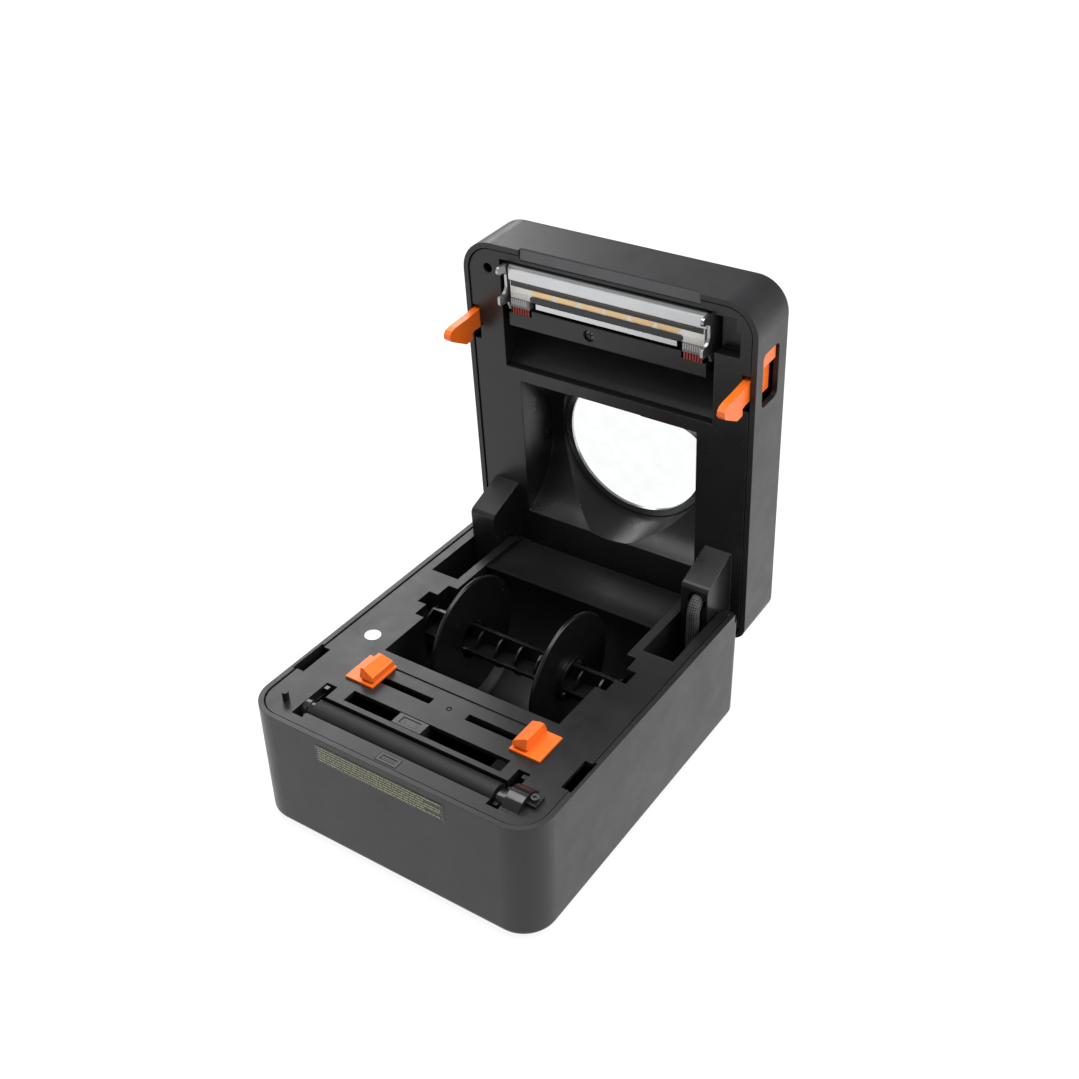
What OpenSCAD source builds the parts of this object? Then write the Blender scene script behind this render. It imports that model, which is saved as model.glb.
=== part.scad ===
// Thermal label printer, desktop clamshell with an inside label roll.
// Millimetres, Z up, origin on the table under the middle of the base, front towards -Y.
// The lid is modelled as it lies when shut and is then turned open about its hinge pins.

/* [Case] */
// width of base and lid
case_w = 178; // [170:1:190]
// depth of base and lid
case_d = 210; // [200:1:225]
// height of the parting plane above the table
part_z = 75; // [70:1:85]
// height of the lid above the parting plane
lid_h = 37; // [34:1:45]
// wall of the outer shells
wall = 3; // [2:0.5:4]
// plan radius of the two front corners
front_r = 18.5; // [14:0.5:24]
// plan radius of the two rear corners
rear_r = 9; // [6:0.5:14]
// rounding of the outer bottom and top edges
edge_r = 3.5; // [2:0.5:5]
// height of the rubber feet
foot_h = 2.5; // [2:0.5:5]

/* [Lid hinge] */
// distance of the hinge pins in front of the rear face
hinge_in = 12.5; // [10:0.5:16]
// depth of the hinge pins below the parting plane
hinge_down = 16.5; // [14:0.5:20]
// opening angle of the lid as drawn
open_deg = 87; // [0:1:90]
// diameter of a hinge pin
hinge_pin_d = 6; // [4:0.5:8]

/* [Label roll] */
// clear width of the roll bay
bay_w = 111.6; // [108:0.2:116]
// distance of the spindle behind the middle of the base
spindle_y = 19; // [10:1:25]
// depth of the spindle below the parting plane
spindle_down = 17; // [14:1:22]
// diameter of the spindle over its fins
spindle_d = 22; // [18:1:24]
// diameter of a roll disc
disc_d = 75; // [50:1:80]
// place of the left disc along the spindle
disc_left_x = -35; // [-50:1:-12]
// place of the right disc along the spindle
disc_right_x = 29; // [12:1:50]

/* [Print line] */
// place of the platen shaft along the depth
platen_y = -85; // [-90:1:-80]
// depth of the platen shaft below the parting plane
platen_down = 6; // [5:0.5:8]
// diameter of the platen rubber
platen_d = 14; // [13:0.5:16]
// length of the platen rubber
platen_w = 113; // [106:1:116]
// diameter of the platen shaft
shaft_d = 6; // [5:0.5:8]
// middle of the label path along the width
media_x = 2.4; // [-3:0.1:3]
// printed width of the thermal line
print_w = 104; // [100:1:108]

/* [Label guides] */
// distance of each guide fin from the middle of the label path
guide_gap = 44; // [12:0.5:46]

/* [Hidden] */
eps = 0.01;
// moves the middle of the object, drawn with the lid open, over the origin
frame_shift = -20.6;
fine = 96;
base_z = foot_h;
lid_top = part_z + lid_h;
deck_top = part_z - 0.6;
deck_t = 2.6;
deck_low = deck_top - deck_t;
rim_gap = 0.7;
liner_z = part_z + 0.9;
liner_t = 2.2;
rear_y = case_d / 2;
hinge_y = rear_y - hinge_in;
hinge_z = part_z - hinge_down;
arm_x = 62.3;
arm_w = 16.4;
pocket_x = 61.3;
pocket_w = 18.4;
spindle_z = part_z - spindle_down;
bay_r = 46;
bay_front_r = 50;
platen_z = part_z - platen_down;
head_gap = 0.3;
head_z = platen_z + platen_d / 2 + head_gap;
vault_y = 20;
vault_r = 48;
lens_y = 18;
lens_r = 45.2;
shroud_r = 48;
latch_x = 81.2;
latch_w = 4.4;
latch_y = -60;
latch_z = part_z + 20;
guide_y = -51.2;
screw_x = 77;
screw_ys = [-42, 32];
mod_g = 0.8;
platen_teeth = 20;
idler_teeth = 30;
motor_teeth = 10;
idler_c = [-75, part_z - 23.44];
motor_c = [-66, part_z - 36.79];
gear_x = 66.6;
gear_w = 4.6;
rack_pr = 4.8;
rack_reach = 56;
sleeve_x = 72.2;
sleeve_y = 77.8;
sleeve_r = 3.7;
rocker_y = 103.5;
rocker_z = 20.5;
rocker_deg = -8;
head_pivot_c = [-63.4, part_z + 18.6];
carrier_screw_x = -9.5;
button_x = 74;
button_y = -85;

case_grey = [0.27, 0.28, 0.29];
deck_black = [0.15, 0.15, 0.16];
orange = [0.98, 0.45, 0.12];
rubber_black = [0.08, 0.08, 0.085];
steel = [0.66, 0.67, 0.69];
white = [0.93, 0.93, 0.91];

// ---------------------------------------------------------------- helpers

// plan of the case: front corners rf, rear corners rb
module plan(w, d, rf, rb) {
    translate([-w / 2, -d / 2 + rf]) square([w, d - rf - rb]);
    translate([-w / 2 + rf, -d / 2]) square([w - 2 * rf, d / 2]);
    translate([-w / 2 + rb, 0]) square([w - 2 * rb, d / 2]);
    for (s = [-1, 1]) {
        translate([s * (w / 2 - rf), -d / 2 + rf]) circle(r = rf, $fn = fine);
        translate([s * (w / 2 - rb), d / 2 - rb]) circle(r = rb, $fn = fine);
    }
}

// rectangle standing on y = 0 with its two lower corners rounded
module round_foot(w, h, r) {
    translate([-w / 2, r]) square([w, h - r]);
    translate([-w / 2 + r, 0]) square([w - 2 * r, h]);
    for (s = [-1, 1]) translate([s * (w / 2 - r), r]) circle(r = r, $fn = 48);
}

// solid box on the case plan from z = 0 up, with its lower edge rounded by re
module soft_box(w, d, h, rf, rb, re) {
    translate([0, d / 2 - rb, 0]) rotate([90, 0, 0]) linear_extrude(d - rf - rb) round_foot(w, h, re);
    translate([-w / 2 + rf, 0, 0]) rotate([90, 0, 90]) linear_extrude(w - 2 * rf) round_foot(d, h, re);
    translate([-w / 2 + rb, d / 4, 0]) rotate([90, 0, 90])
        linear_extrude(w - 2 * rb) round_foot(d / 2, h, re);
    for (s = [-1, 1], c = [[rf, -d / 2 + rf], [rb, d / 2 - rb]])
        translate([s * (w / 2 - c[0]), c[1], 0]) rotate_extrude($fn = fine) intersection() {
            round_foot(2 * c[0], h, re);
            square([c[0] + 1, h]);
        }
}

// box between two corners
module span(a, b) {
    translate(a) cube(b - a);
}

// the same thing on the left and on the right
module both() {
    children();
    mirror([1, 0, 0]) children();
}

// rod along X from x, of length w, with its axis at y, z
module rod(x, y, z, r, w) {
    translate([x, y, z]) rotate([0, 90, 0]) cylinder(r = r, h = w, $fn = 64);
}

// outline in the y, z plane drawn out along X
module slab(x, w, points) {
    translate([x, 0, 0]) rotate([90, 0, 90]) linear_extrude(w) polygon(points);
}

// everything inside is turned from the shut lid to the open lid
module opened() {
    translate([0, hinge_y, hinge_z]) rotate([-open_deg, 0, 0])
        translate([0, -hinge_y, -hinge_z]) children();
}

// pan head screw, head at z = 0 pointing down, shank up
module pan_screw(head_d, head_h, shank_d, shank_l) {
    difference() {
        union() {
            cylinder(d = head_d, h = head_h, $fn = 48);
            translate([0, 0, head_h - eps]) cylinder(d = shank_d, h = shank_l, $fn = 32);
        }
        for (a = [0, 90]) rotate([0, 0, a])
            translate([-head_d * 0.3, -0.4, -eps]) cube([head_d * 0.6, 0.8, head_h * 0.55]);
    }
}

// spur gear along X; turn is the angle of one tooth from +Y towards +Z
module spur(teeth, x, c, w, bore_d, turn) {
    pr = mod_g * teeth / 2;
    root = pr - 0.9;
    tip = pr + 0.62;
    translate([x, c[0], c[1]]) rotate([90, 0, 90]) rotate([0, 0, turn])
        linear_extrude(w) difference() {
            union() {
                circle(r = root, $fn = 64);
                for (k = [0 : teeth - 1]) rotate(k * 360 / teeth)
                    polygon([[root - 0.4, -0.78], [tip, -0.3], [tip, 0.3], [root - 0.4, 0.78]]);
            }
            circle(d = bore_d, $fn = 48);
        }
}

// angles of the gears, so that they are in mesh as drawn
platen_turn = atan2(idler_c[1] - platen_z, idler_c[0] - platen_y);
idler_turn = platen_turn + 180 + 180 / idler_teeth;
motor_dir = atan2(motor_c[1] - idler_c[1], motor_c[0] - idler_c[0]);
motor_turn = motor_dir + 180 + 180 / motor_teeth
    - (idler_turn - motor_dir) * idler_teeth / motor_teeth;

// ---------------------------------------------------------------- base

// room behind the deck for the rear edge of the lid as it swings
module lid_relief(z) span([-case_w / 2 - 1, 95.6, z], [case_w / 2 + 1, rear_y + 1, part_z + 5]);

// outer tub of the base, open at the top
module base_shell() color(case_grey) difference() {
    union() {
        difference() {
            translate([0, 0, base_z])
                soft_box(case_w, case_d, part_z - base_z, front_r, rear_r, edge_r);
            translate([0, 0, base_z + wall]) linear_extrude(part_z)
                plan(case_w - 2 * wall, case_d - 2 * wall, front_r - wall, rear_r - wall);
        }
        for (s = [-1, 1], y = screw_ys) translate([s * screw_x, y, base_z + 1])
            cylinder(d = 9, h = 8, $fn = 48);
        // pads for the circuit boards and the motor bracket
        for (x = [-74, 14], y = [-91, -40]) translate([x, y, base_z + 1])
            cylinder(d = 6, h = 5, $fn = 32);
        for (x = [-70, 30]) translate([x, 84, base_z + 1]) cylinder(d = 6, h = 5, $fn = 32);
        span([28, -80, base_z + 1], [64, -46, base_z + 6]);
    }
    // screw holes from below
    for (s = [-1, 1], y = screw_ys) translate([s * screw_x, y, base_z - 1]) {
        cylinder(d = 3.4, h = 20, $fn = 32);
        cylinder(d = 6.6, h = 4.4, $fn = 32);
    }
    // hinge arm notches in the rear wall
    both() span([pocket_x, rear_y - wall - 2, part_z - 28], [pocket_x + pocket_w, rear_y + 1, part_z + 1]);
    // slot for fan-fold labels
    span([-52, rear_y - wall - 2, part_z - 7], [52, rear_y + 1, part_z + 1]);
    lid_relief(part_z - 6);
    // thinner wall beside the latches
    both() span([85.8, latch_y - 9, part_z - 32], [87.2, latch_y + 14.6, part_z + 1]);
    // openings for the sockets and the switch
    span([-66.2, rear_y - wall - 1, 14.8], [-53.8, rear_y + 1, 27.2]);
    span([-40.2, rear_y - wall - 1, 14.8], [-27.8, rear_y + 1, 26.2]);
    span([-6.2, rear_y - wall - 1, 13.8], [15.2, rear_y + 1, 27.2]);
    // cooling slots in the bottom
    for (k = [0 : 6]) span([-30 + 10 * k, -96, base_z - 1], [-27 + 10 * k, -84, base_z + wall + 1]);
}

module rubber_feet() color(rubber_black)
    for (s = [-1, 1], y = [-82, 84]) translate([s * 70, y, 0])
        cylinder(d = 13, h = base_z, $fn = 64);

module case_screws() color(steel)
    for (s = [-1, 1], y = screw_ys) translate([s * screw_x, y, base_z + 1])
        pan_screw(5.6, 2.3, 2.9, 15);

// cross-section of the roll bay in y, z, grown by g
module bay_section(g) {
    intersection() {
        translate([spindle_y, spindle_z + 4]) circle(r = bay_front_r + g, $fn = fine);
        translate([-80, 0]) square([80 + spindle_y, part_z]);
    }
    intersection() {
        translate([spindle_y, spindle_z]) circle(r = bay_r + g, $fn = fine);
        translate([spindle_y - eps, 0]) square([80, part_z]);
    }
    translate([spindle_y - bay_front_r - g, spindle_z + 4])
        square([bay_front_r + g, part_z - spindle_z - 4]);
}

module bay_solid(w, g, top) {
    translate([-w / 2, 0, 0]) rotate([90, 0, 90]) linear_extrude(w) intersection() {
        bay_section(g);
        translate([-100, 0]) square([200, top]);
    }
}

// moulded inner frame: deck, roll bay, hinge pockets, platen seats
module deck_frame() color(deck_black) difference() {
    union() {
        translate([0, 0, deck_low]) linear_extrude(deck_t)
            plan(case_w - 2 * wall - 2 * rim_gap, case_d - 2 * wall - 2 * rim_gap,
                front_r - wall - rim_gap, rear_r - wall - rim_gap);
        bay_solid(bay_w + 4, 2, deck_top);
        both() {
            span([bay_w / 2 - eps, 0.6, part_z - 37], [70, 37.6, deck_top]);
            span([pocket_x - 2, 40.4, part_z - 35], [pocket_x + pocket_w + 2, 101, deck_top]);
            span([55, -98, 56.5], [66, -66.4, deck_top]);
        }
        intersection() {
            rod(-57, platen_y, platen_z, platen_d / 2 + 2.4, 114);
            span([-60, -100, 50], [60, -60, deck_top]);
        }
        // dished ramp behind the bay
        span([-58, 60, deck_top - 7], [58, 101, deck_top]);
        // posts for the case screws
        for (s = [-1, 1], y = screw_ys) translate([s * screw_x, y, base_z + 9.2])
            cylinder(d = 8, h = deck_top - base_z - 10, $fn = 48);
        // locating post
        translate([-73, -90, deck_low]) cylinder(d = 3.6, h = 8, $fn = 32);
        // boss that carries the guide pinion
        translate([media_x, guide_y, deck_low - 4]) cylinder(d = 5, h = 5, $fn = 32);
    }
    // roll bay
    bay_solid(bay_w, 0, part_z + 10);
    // spindle saddles
    both() {
        span([bay_w / 2 - 1, 3.4, part_z - 34], [62, 34.8, part_z + 1]);
        span([61, spindle_y - 5.4, spindle_z], [68, spindle_y + 5.4, part_z + 1]);
        rod(61, spindle_y, spindle_z, 5.4, 7);
        // hinge pockets and pin bores
        span([pocket_x, 42.4, part_z - 33], [pocket_x + pocket_w, rear_y, part_z + 1]);
        rod(pocket_x - 3, hinge_y, hinge_z, hinge_pin_d / 2 + 0.03, pocket_w + 6);
    }
    // platen trough, its end slots and the gear opening
    rod(-57.3, platen_y, platen_z, platen_d / 2 + 0.6, 114.6);
    span([-57, platen_y - platen_d / 2 - 0.2, platen_z], [57, platen_y + platen_d / 2 + 0.2, part_z + 1]);
    both() difference() {
        span([57, -96, 58.5], [64, -68.4, part_z + 1]);
        span([57.9, -92, 58], [60.3, -78, deck_top - 3]);
    }
    both() {
        rod(56, platen_y, platen_z, 5.02, 6);
        span([56, platen_y - 5.02, platen_z], [62, platen_y + 5.02, part_z + 1]);
    }
    span([60, platen_y - 3.6, platen_z], [67, platen_y + 3.6, part_z + 1]);
    rod(60, platen_y, platen_z, 3.6, 7);
    span([66, -95, 60], [73, -75, part_z + 1]);
    lid_relief(deck_low - 0.1);
    // slot of the gap sensor and slots of the guides
    span([-47.7, -74.6, deck_low - 1], [50.5, -65.8, part_z + 1]);
    for (s = [-1, 1]) translate([media_x + s * 31.1, guide_y, deck_low - 1])
        translate([-19.9, -2.3, 0]) cube([39.8, 4.6, 10]);
    // bed of the front sensor
    span([-6.6, -100.4, deck_top - 1.2], [6.6, -94, part_z + 1]);
    // slots for the lid latches
    both() span([80.8, latch_y - 8, deck_low - 1], [90, latch_y + 13.6, part_z + 1]);
    // ring mark over the pinion
    translate([media_x, guide_y, deck_top - 0.6]) difference() {
        cylinder(d = 3.2, h = 2, $fn = 32);
        translate([0, 0, -1]) cylinder(d = 1.7, h = 1.5, $fn = 32);
    }
    // thin groove behind the guides
    span([-60, -41.2, deck_top - 0.7], [62, -40, part_z + 1]);
    // dish of the ramp
    rod(-56, 79.2, deck_top + 36, 40, 112);
    span([-56, 79.2, deck_top - 4], [56, rear_y, part_z + 1]);
    // screw holes
    for (s = [-1, 1], y = screw_ys) translate([s * screw_x, y, base_z])
        cylinder(d = 2.96, h = 26, $fn = 32);
    translate([media_x, guide_y, deck_low - 5]) cylinder(d = 2.06, h = 6, $fn = 32);
    translate([76.2, platen_y + 2, deck_low - 1]) cylinder(d = 2.06, h = 6, $fn = 32);
    // way for the cable out of the right pocket
    translate([sleeve_x, sleeve_y, part_z - 36]) cylinder(d = 9.4, h = 5, $fn = 48);
}

module hinge_pins() color(steel) both()
    rod(pocket_x - 1.6, hinge_y, hinge_z, hinge_pin_d / 2, pocket_w + 3.2);

// cable in its braided sleeve, from the base up through the right pocket to the lid arm
module cable_sleeve() color([0.35, 0.35, 0.36]) {
    bend = 8;
    translate([sleeve_x, sleeve_y, part_z - 41]) cylinder(r = sleeve_r, h = 46, $fn = 32);
    translate([sleeve_x, sleeve_y + bend, part_z + 5]) rotate([90, 0, 90]) rotate([0, 0, 90])
        rotate_extrude(angle = 90, $fn = 64) translate([bend, 0]) circle(r = sleeve_r, $fn = 32);
    translate([sleeve_x, sleeve_y + bend, part_z + 5 + bend])
        rotate([-90, 0, 0]) cylinder(r = sleeve_r, h = 17, $fn = 32);
}

// ---------------------------------------------------------------- platen and drive

module platen_rubber() color(rubber_black) difference() {
    rod(-platen_w / 2, platen_y, platen_z, platen_d / 2, platen_w);
    rod(-platen_w, platen_y, platen_z, shaft_d / 2 + 0.02, 2 * platen_w);
}

module platen_shaft() color(steel)
    rod(-63.8, platen_y, platen_z, shaft_d / 2, 135.4);

// flanged bushes with the lever that locks them in the frame
module platen_bushings() color([0.2, 0.2, 0.21]) both() difference() {
    union() {
        rod(57.4, platen_y, platen_z, 4.95, 6.2);
        rod(60.5, platen_y, platen_z, 5.6, 3.1);
        span([62.6, platen_y + 2, platen_z - 2], [63.6, platen_y + 15.6, platen_z + 1.4]);
        span([60.8, platen_y + 13, platen_z + 0.4], [63.6, platen_y + 15.6, platen_z + 4.6]);
    }
    rod(50, platen_y, platen_z, shaft_d / 2 + 0.05, 20);
}

module platen_gear() color(white)
    spur(platen_teeth, gear_x, [platen_y, platen_z], gear_w, shaft_d + 0.04, platen_turn);

module idler_gear() color(white)
    spur(idler_teeth, gear_x, idler_c, gear_w, 4.1, idler_turn);

module idler_pin() color(steel) {
    rod(60.4, idler_c[0], idler_c[1], 2, 12.3);
    rod(71.5, idler_c[0], idler_c[1], 2.6, 1.2);
}

module motor_pinion() color([0.8, 0.66, 0.3])
    spur(motor_teeth, gear_x, motor_c, gear_w, 3.04, motor_turn);

// square stepper motor with its shaft
module stepper_motor() color([0.22, 0.22, 0.23]) {
    half = 17.5;
    translate([32, motor_c[0], motor_c[1]]) rotate([90, 0, 90]) {
        linear_extrude(28) intersection() {
            square(2 * half, center = true);
            circle(r = half * 1.3, $fn = 64);
        }
        translate([0, 0, 27.9]) difference() {
            cylinder(r = 11, h = 2, $fn = 64);
            translate([0, 0, 0.5]) cylinder(r = 1.55, h = 3, $fn = 32);
        }
    }
}

module motor_shaft() color(steel)
    rod(60.6, motor_c[0], motor_c[1], 1.5, 11);

module motor_bracket() color(steel) difference() {
    union() {
        span([60.2, motor_c[0] - 20, base_z + 6.1], [62.2, motor_c[0] + 20, part_z - 19]);
        span([30, motor_c[0] - 14, base_z + 6.1], [62.2, motor_c[0] + 20, base_z + 8.1]);
    }
    rod(59, motor_c[0], motor_c[1], 11.2, 4);
    rod(59, idler_c[0], idler_c[1], 2.01, 4);
    for (a = [45 : 90 : 315])
        rod(59, motor_c[0] + 18.4 * cos(a), motor_c[1] + 18.4 * sin(a), 1.6, 4);
}

// domed cap over the platen gear
module gear_cover() color(deck_black) {
    r = 10.4;
    difference() {
        union() {
            rod(64.4, platen_y, platen_z, r, 9.4);
            span([64.4, platen_y - r, deck_top - 6], [73.8, platen_y + r, deck_top + 0.1]);
            // ear for its screw
            span([73.6, platen_y - 2, deck_top], [79, platen_y + 6, deck_top + 2]);
        }
        rod(65.6, platen_y, platen_z, 9.2, 7);
        span([60, platen_y - 20, platen_z - 20], [90, platen_y + 20, deck_top + 0.02]);
        span([60, platen_y - 3.4, platen_z - 5], [66, platen_y + 3.4, deck_top + 1]);
        rod(60, platen_y, platen_z, 5.9, 6);
        translate([76.2, platen_y + 2, deck_top - 1]) cylinder(d = 2.3, h = 6, $fn = 32);
    }
}

module gear_cover_screw() color(steel)
    translate([76.2, platen_y + 2, deck_top + 3.6]) mirror([0, 0, 1])
        pan_screw(4.2, 1.5, 1.98, 4.6);

// ---------------------------------------------------------------- boards and sockets

module main_board() color([0.08, 0.3, 0.16]) {
    z = base_z + 6.1;
    difference() {
        span([-78, -95, z], [19, -36, z + 1.6]);
        translate([-screw_x, screw_ys[0], z - 1]) cylinder(d = 11, h = 4, $fn = 48);
    }
    span([-50, -80, z + 1.6], [-34, -64, z + 3]);
    span([-24, -78, z + 1.6], [-14, -70, z + 2.9]);
    span([-74, -88, z + 1.6], [-66, -60, z + 7]);
    for (x = [-4, 8]) translate([x, -56, z + 1.5]) cylinder(d = 8, h = 11, $fn = 32);
    for (y = [-93, -46]) span([-40, y, z + 1.6], [-16, y + 5, z + 7.6]);
}

module io_board() color([0.08, 0.3, 0.16]) {
    z = base_z + 6.1;
    span([-80, 72, z], [40, 100, z + 1.6]);
    span([22, 76, z + 1.6], [34, 82, z + 6]);
    translate([-74, 78, z + 1.5]) cylinder(d = 6, h = 9, $fn = 32);
}

module power_inlet() color(deck_black) {
    x = -60;
    difference() {
        union() {
            span([x - 6, 88, base_z + 7.8], [x + 6, 101.7, 26.9]);
            span([x - 6, 101, 15], [x + 6, rear_y - 0.2, 26.9]);
        }
        translate([x, rear_y + 1, 21]) rotate([90, 0, 0]) cylinder(d = 6.6, h = 11, $fn = 48);
    }
    translate([x, rear_y - 2, 21]) rotate([90, 0, 0]) cylinder(d = 2, h = 9, $fn = 32);
}

module usb_socket() color(steel) {
    x = -34;
    difference() {
        union() {
            span([x - 6, 86, base_z + 7.8], [x + 6, 101.7, 26]);
            span([x - 6, 101, 15], [x + 6, rear_y - 0.2, 26]);
        }
        span([x - 4.4, 92, 16.4], [x + 4.4, rear_y + 1, 24.6]);
    }
    span([x - 2.8, 91, 19.2], [x + 2.8, rear_y - 1.2, 21.8]);
}

module switch_frame() color(deck_black) difference() {
    union() {
        span([-5.9, 94, 14.1], [14.9, rear_y + 0.1, 26.9]);
        span([-7.4, rear_y + 0.05, 12.6], [16.4, rear_y + 1.3, 28.4]);
    }
    span([-4.2, 96, 15.3], [13.2, rear_y + 2, 25.7]);
    rod(-5.2, rocker_y, rocker_z, 1.06, 19.4);
}

module power_rocker() color(rubber_black)
    translate([0, rocker_y, rocker_z]) rotate([rocker_deg, 0, 0]) {
        slab(-3.9, 16.8, [[-4, -3.4], [2.4, -4.4], [5, -4.3], [4.3, 0], [5, 4.3], [2.4, 4.4], [-4, 3.4]]);
        rod(-5, 0, 0, 1, 19);
    }

// ---------------------------------------------------------------- label guides and sensors

// one label guide, drawn for the right side with its fin face at x = 0
module guide() {
    z = deck_top;
    span([-1, -60, z + 0.1], [17, -39.6, z + 1.3]);
    // fence: upright outside, sloping down to the label inside
    intersection() {
        slab(0, 8.2, [[-57.2, z + 0.5], [-57.2, z + 2.6], [-58.8, z + 3.2], [-57.2, z + 8.5],
            [-42.2, z + 8.2], [-40.2, z + 3.4], [-40.2, z + 0.5]]);
        translate([0, -38, z]) rotate([90, 0, 0]) linear_extrude(24)
            polygon([[0, 0.5], [0, 5.2], [0.6, 5.8], [6.6, 8.5], [8.2, 8.5], [8.2, 0.5]]);
    }
    span([2, guide_y - 1.9, deck_low - 0.7], [6, guide_y + 1.9, z + 1]);
}

// rack screwed under a guide, drawn for the right side
module rack(side) color(rubber_black) {
    z = deck_low - 3.8;
    y0 = guide_y + side * (rack_pr + 1);
    y1 = guide_y + side * (rack_pr + 3.6);
    span([2, min(guide_y - 1.9, y0, y1), z], [6, max(guide_y + 1.9, y0, y1), z + 3]);
    span([-rack_reach, min(y0, y1), z], [6, max(y0, y1), z + 3]);
    pitch = PI * mod_g;
    for (k = [0 : floor((rack_reach - 2) / pitch) - 1])
        translate([-guide_gap + (k - 2.5) * pitch, y0, z])
            linear_extrude(3) polygon([[-0.72, 0.1 * side], [-0.3, -1.4 * side],
                [0.3, -1.4 * side], [0.72, 0.1 * side]]);
}

module rack_right() translate([media_x + guide_gap, 0, 0]) rack(-1);

module rack_left() translate([media_x - guide_gap, 0, 0]) mirror([1, 0, 0]) rack(1);

module guide_right() color(orange) translate([media_x + guide_gap, 0, 0]) guide();

module guide_left() color(orange)
    translate([media_x - guide_gap, 0, 0]) mirror([1, 0, 0]) guide();

module guide_pinion() color(white) translate([media_x, guide_y, deck_low - 3.8])
    linear_extrude(3) difference() {
        union() {
            circle(r = rack_pr - 0.95, $fn = 64);
            for (k = [0 : 11]) rotate(k * 30)
                polygon([[rack_pr - 1.2, -0.72], [rack_pr + 0.6, -0.26],
                    [rack_pr + 0.6, 0.26], [rack_pr - 1.2, 0.72]]);
        }
        circle(d = 5.1, $fn = 48);
    }

module pinion_screw() color(steel) translate([media_x, guide_y, deck_low - 5.8])
    pan_screw(6.4, 1.7, 1.98, 5);

// gap sensor on its carriage, free to move along its slot
module gap_sensor() color(deck_black) difference() {
    union() {
        span([-16.8, -74.2, deck_low - 0.2], [1.2, -66.2, deck_top - 0.1]);
        span([-15.8, -73.4, deck_low - 0.5], [0.2, -66.2, deck_low]);
        span([-16.8, -73.4, deck_low - 5], [1.2, -62, deck_low - 0.3]);
    }
    span([-13.6, -72.6, deck_top - 0.7], [-2.4, -67.8, deck_top + 1]);
}

module front_sensor() color(deck_black) difference() {
    span([-6.3, -100.1, deck_top - 1.15], [6.3, -94.2, deck_top + 0.15]);
    span([-4.6, -98.7, deck_top - 0.4], [4.6, -95.6, deck_top + 1]);
}

// ---------------------------------------------------------------- roll holder

module spindle() color(deck_black) {
    for (a = [0, 90]) translate([-61.4, spindle_y, spindle_z]) rotate([a, 0, 0])
        translate([0, -1.1, -spindle_d / 2]) cube([122.8, 2.2, spindle_d]);
    for (k = [-4 : 4]) rod(13 * k - 0.6, spindle_y, spindle_z, spindle_d / 2 - 1.4, 1.2);
    for (s = [-1, 1]) {
        rod(s * 60.8 - 0.6, spindle_y, spindle_z, spindle_d / 2, 1.2);
        rod(s > 0 ? 61 : -67.4, spindle_y, spindle_z, 5.33, 6.4);
    }
}

// roll disc at the origin, hub towards side s
module roll_disc(s) difference() {
    union() {
        rod(-1.2, 0, 0, disc_d / 2 - 1.2, 2.4);
        rotate([0, 90, 0]) rotate_extrude($fn = 128) translate([disc_d / 2 - 1.2, 0])
            circle(r = 1.2, $fn = 32);
        rod(s > 0 ? 0 : -3.8, 0, 0, 13.4, 3.8);
    }
    rod(-20, 0, 0, spindle_d / 2 + 0.3, 40);
}

module disc_left() color(deck_black)
    translate([disc_left_x, spindle_y, spindle_z]) roll_disc(-1);

module disc_right() color(deck_black)
    translate([disc_right_x, spindle_y, spindle_z]) roll_disc(1);

// ---------------------------------------------------------------- labels on the case

module blank_sticker() color(white)
    translate([-69.5, -24.3, deck_top + 0.02]) cylinder(d = 9.2, h = 0.2, $fn = 64);

module front_film() color([0.8, 0.82, 0.84])
    span([-41, -case_d / 2 - 0.2, part_z - 15], [39, -case_d / 2 - 0.02, part_z - 4]);

// ---------------------------------------------------------------- lid

module lid_shell() color(case_grey) opened() difference() {
    translate([0, 0, lid_top]) mirror([0, 0, 1])
        soft_box(case_w, case_d, lid_h - 0.3, front_r, rear_r, edge_r);
    translate([0, 0, part_z - 1]) linear_extrude(lid_h - 1.8)
        plan(case_w - 2 * wall, case_d - 2 * wall, front_r - wall, rear_r - wall);
    translate([0, lens_y, part_z]) cylinder(r = lens_r + 0.4, h = lid_h + 5, $fn = 160);
    // finger windows of the latches
    both() slab(case_w / 2 - wall - 1, wall + 2, [for (c = [[-1, -1], [1, -1], [1, 1], [-1, 1]], k = [0 : 4])
        [latch_y + c[0] * 12.3 + 3.2 * cos(corner_turn(c) + 22.5 * k),
            part_z + 16.5 + c[1] * 5.8 + 3.2 * sin(corner_turn(c) + 22.5 * k)]]);
    // mouth for the printed label
    span([-51.6, -case_d / 2 - 1, part_z - 1], [56.4, -case_d / 2 + wall + 1, part_z + 2.5]);
    translate([button_x, button_y, lid_top - 6]) cylinder(d = 12.5, h = 10, $fn = 64);
    translate([button_x, button_y + 11.4, lid_top - 6]) cylinder(d = 3.2, h = 10, $fn = 32);
}

// first angle of the rounded corner that points to c
function corner_turn(c) = c[0] > 0 ? (c[1] > 0 ? 0 : 270) : (c[1] > 0 ? 90 : 180);

// y, z outline of the print head pocket, grown by g
function pocket_line(g) = [[-97 - g, part_z - 2], [-97 - g, part_z + 30 + g], [-54, part_z + 30 + g],
    [-32.2 + g, part_z + 6], [-32.2 + g, part_z - 2]];

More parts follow.
